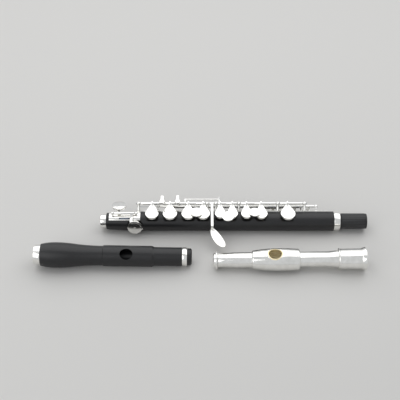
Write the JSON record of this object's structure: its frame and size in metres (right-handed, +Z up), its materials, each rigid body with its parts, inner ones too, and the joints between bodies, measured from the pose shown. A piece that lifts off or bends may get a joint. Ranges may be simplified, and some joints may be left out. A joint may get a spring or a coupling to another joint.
{
  "type": "piccolo",
  "caption": "Piccolo taken apart: black keyed body joint with silver keywork, a black head joint and a silver head joint with a raised lip plate.",
  "frame": {"origin": "centre of the plan outline of the three joints as they lie, at the floor", "axes": "+X along the joints towards the body's tenon, +Z up, the black and silver heads in front of the body at -Y"},
  "size_m": [0.272, 0.0689, 0.0259],
  "materials": {
    "black_composite": "satin black",
    "black_cork": "dark greased cork",
    "silver_plate": "polished silver plate",
    "steel": "drawn steel",
    "cork": "cork",
    "pad_skin": "pale skin over felt",
    "gold_plate": "pale gold plate"
  },
  "bodies": {
    "body_joint": {"body_tube": "black_composite", "foot_ring": "silver_plate", "tenon_ring": "silver_plate", "tenon_cork": "black_cork", "key_rib": "silver_plate", "rod_posts": "silver_plate", "trill_posts": "silver_plate", "thumb_posts": "silver_plate", "foot_key_plate": "silver_plate", "right_hand_steel": "steel", "left_hand_steel": "steel", "c_key_steel": "steel", "trill_steels": "steel", "thumb_steel": "steel", "foot_key_steel": "steel", "needle_springs": "steel"},
    "d_action": {"d_key": "silver_plate", "d_key_pad": "pad_skin"},
    "e_action": {"e_key": "silver_plate", "e_key_pad": "pad_skin"},
    "f_sharp_action": {"f_sharp_key": "silver_plate", "f_sharp_key_pad": "pad_skin"},
    "f_action": {"f_key": "silver_plate", "f_key_pad": "pad_skin"},
    "lower_g_action": {"lower_g_key": "silver_plate", "lower_g_key_pad": "pad_skin"},
    "g_action": {"g_key": "silver_plate", "g_key_pad": "pad_skin"},
    "a_action": {"a_key": "silver_plate", "a_key_pad": "pad_skin"},
    "b_flat_action": {"b_flat_key": "silver_plate", "b_flat_key_pad": "pad_skin"},
    "c_action": {"c_key": "silver_plate", "c_key_pad": "pad_skin"},
    "g_sharp_action": {"g_sharp_key": "silver_plate", "g_sharp_key_pad": "pad_skin"},
    "d_trill_action": {"d_trill_key": "silver_plate", "d_trill_key_pad": "pad_skin"},
    "d_sharp_trill_action": {"d_sharp_trill_key": "silver_plate", "d_sharp_trill_key_pad": "pad_skin"},
    "e_flat_action": {"e_flat_key": "silver_plate", "e_flat_key_pad": "pad_skin"},
    "thumb_b_action": {"thumb_b_key": "silver_plate", "thumb_b_key_pad": "pad_skin"},
    "thumb_b_flat_action": {"thumb_b_flat_lever": "silver_plate"},
    "wood_head": {"wood_head_tube": "black_composite", "wood_head_socket_ring": "silver_plate", "wood_head_crown_ring": "silver_plate"},
    "wood_crown": {"wood_head_crown": "black_composite"},
    "wood_stopper": {"wood_head_stopper": "cork", "wood_head_stopper_screw": "steel"},
    "metal_head": {"metal_head_tube": "silver_plate", "metal_head_socket": "silver_plate", "lip_plate": "silver_plate", "lip_riser": "gold_plate"},
    "metal_crown": {"metal_head_crown": "silver_plate"},
    "metal_stopper": {"metal_head_stopper": "cork", "metal_head_stopper_screw": "steel"}
  },
  "joints": [
    {"name": "d_action_hinge", "type": "hinge", "parent": "body_joint", "child": "d_action", "pos_m": [0.014, 0.02688, 0.02002], "axis": [1, 0, 0], "range_deg": [0, 8.5], "stiffness_Nm_per_rad": 0.004, "springref_deg": -11.46},
    {"name": "e_action_hinge", "type": "hinge", "parent": "body_joint", "child": "e_action", "pos_m": [0.014, 0.02688, 0.02002], "axis": [1, 0, 0], "range_deg": [0, 8.5], "stiffness_Nm_per_rad": 0.004, "springref_deg": -11.46},
    {"name": "f_sharp_action_hinge", "type": "hinge", "parent": "body_joint", "child": "f_sharp_action", "pos_m": [0.014, 0.02688, 0.02002], "axis": [1, 0, 0], "range_deg": [0, 8.5], "stiffness_Nm_per_rad": 0.004, "springref_deg": -11.46},
    {"name": "f_action_hinge", "type": "hinge", "parent": "body_joint", "child": "f_action", "pos_m": [0.014, 0.02688, 0.02002], "axis": [1, 0, 0], "range_deg": [0, 8.5], "stiffness_Nm_per_rad": 0.004, "springref_deg": -11.46},
    {"name": "lower_g_action_hinge", "type": "hinge", "parent": "body_joint", "child": "lower_g_action", "pos_m": [0.014, 0.02688, 0.02002], "axis": [1, 0, 0], "range_deg": [0, 8.5], "stiffness_Nm_per_rad": 0.004, "springref_deg": -11.46},
    {"name": "g_action_hinge", "type": "hinge", "parent": "body_joint", "child": "g_action", "pos_m": [0.014, 0.02688, 0.02002], "axis": [1, 0, 0], "range_deg": [0, 8.5], "stiffness_Nm_per_rad": 0.004, "springref_deg": -11.46},
    {"name": "a_action_hinge", "type": "hinge", "parent": "body_joint", "child": "a_action", "pos_m": [0.014, 0.02688, 0.02002], "axis": [1, 0, 0], "range_deg": [0, 8.5], "stiffness_Nm_per_rad": 0.004, "springref_deg": -11.46},
    {"name": "b_flat_action_hinge", "type": "hinge", "parent": "body_joint", "child": "b_flat_action", "pos_m": [0.014, 0.02688, 0.02002], "axis": [1, 0, 0], "range_deg": [0, 8.5], "stiffness_Nm_per_rad": 0.004, "springref_deg": -11.46},
    {"name": "c_action_hinge", "type": "hinge", "parent": "body_joint", "child": "c_action", "pos_m": [0.014, 0.02688, 0.02002], "axis": [1, 0, 0], "range_deg": [0, 8.5], "stiffness_Nm_per_rad": 0.004, "springref_deg": -11.46},
    {"name": "g_sharp_action_hinge", "type": "hinge", "parent": "body_joint", "child": "g_sharp_action", "pos_m": [0.014, 0.02688, 0.02002], "axis": [1, 0, 0], "range_deg": [0, 7], "stiffness_Nm_per_rad": 0.004, "springref_deg": -17.19},
    {"name": "d_trill_action_hinge", "type": "hinge", "parent": "body_joint", "child": "d_trill_action", "pos_m": [0.014, 0.02942, 0.01324], "axis": [1, 0, 0], "range_deg": [0, 8], "stiffness_Nm_per_rad": 0.004, "springref_deg": -17.19},
    {"name": "d_sharp_trill_action_hinge", "type": "hinge", "parent": "body_joint", "child": "d_sharp_trill_action", "pos_m": [0.014, 0.02756, 0.01622], "axis": [1, 0, 0], "range_deg": [0, 8], "stiffness_Nm_per_rad": 0.004, "springref_deg": -17.19},
    {"name": "e_flat_action_hinge", "type": "hinge", "parent": "body_joint", "child": "e_flat_action", "pos_m": [-0.066, 0.01659, 0.01884], "axis": [1, 0, 0], "range_deg": [-12, 0], "stiffness_Nm_per_rad": 0.004, "springref_deg": 17.19},
    {"name": "thumb_b_action_hinge", "type": "hinge", "parent": "body_joint", "child": "thumb_b_action", "pos_m": [0.056, 0.03138, 0.01001], "axis": [1, 0, 0], "range_deg": [-12, 0], "stiffness_Nm_per_rad": 0.004, "springref_deg": 11.46},
    {"name": "thumb_b_flat_action_hinge", "type": "hinge", "parent": "body_joint", "child": "thumb_b_flat_action", "pos_m": [0.056, 0.03138, 0.01001], "axis": [1, 0, 0], "range_deg": [-12, 0], "stiffness_Nm_per_rad": 0.004, "springref_deg": 11.46},
    {"name": "wood_head_lift", "type": "slide", "parent": "body_joint", "child": "wood_head", "axis": [0, 0, 1], "range_m": [0, 0.05]},
    {"name": "wood_crown_turn", "type": "hinge", "parent": "wood_head", "child": "wood_crown", "pos_m": [-0.07581, -0.02159, 0.00922], "axis": [0.9997, 0, -0.0233], "range_deg": [-180, 180]},
    {"name": "wood_stopper_slide", "type": "slide", "parent": "wood_head", "child": "wood_stopper", "axis": [0.9997, 0, -0.0233], "range_m": [-0.00037125, 0.00037125]},
    {"name": "metal_head_lift", "type": "slide", "parent": "body_joint", "child": "metal_head", "axis": [0, 0, 1], "range_m": [0, 0.05]},
    {"name": "metal_crown_turn", "type": "hinge", "parent": "metal_head", "child": "metal_crown", "pos_m": [0.06729, -0.02509, 0.00851], "axis": [0.9999, 0, 0.0154], "range_deg": [-180, 180]},
    {"name": "metal_stopper_slide", "type": "slide", "parent": "metal_head", "child": "metal_stopper", "axis": [0.9999, 0, 0.0154], "range_m": [-0.00037125, 0.00037125]}
  ],
  "couplings": [
    {"joint": "f_sharp_action_hinge", "follows": "f_action_hinge", "ratio": 1},
    {"joint": "lower_g_action_hinge", "follows": "g_action_hinge", "ratio": 1},
    {"joint": "b_flat_action_hinge", "follows": "a_action_hinge", "ratio": 1},
    {"joint": "wood_crown_turn", "follows": "wood_stopper_slide", "rad_per_m": 8377.6},
    {"joint": "metal_crown_turn", "follows": "metal_stopper_slide", "rad_per_m": 8377.6}
  ]
}
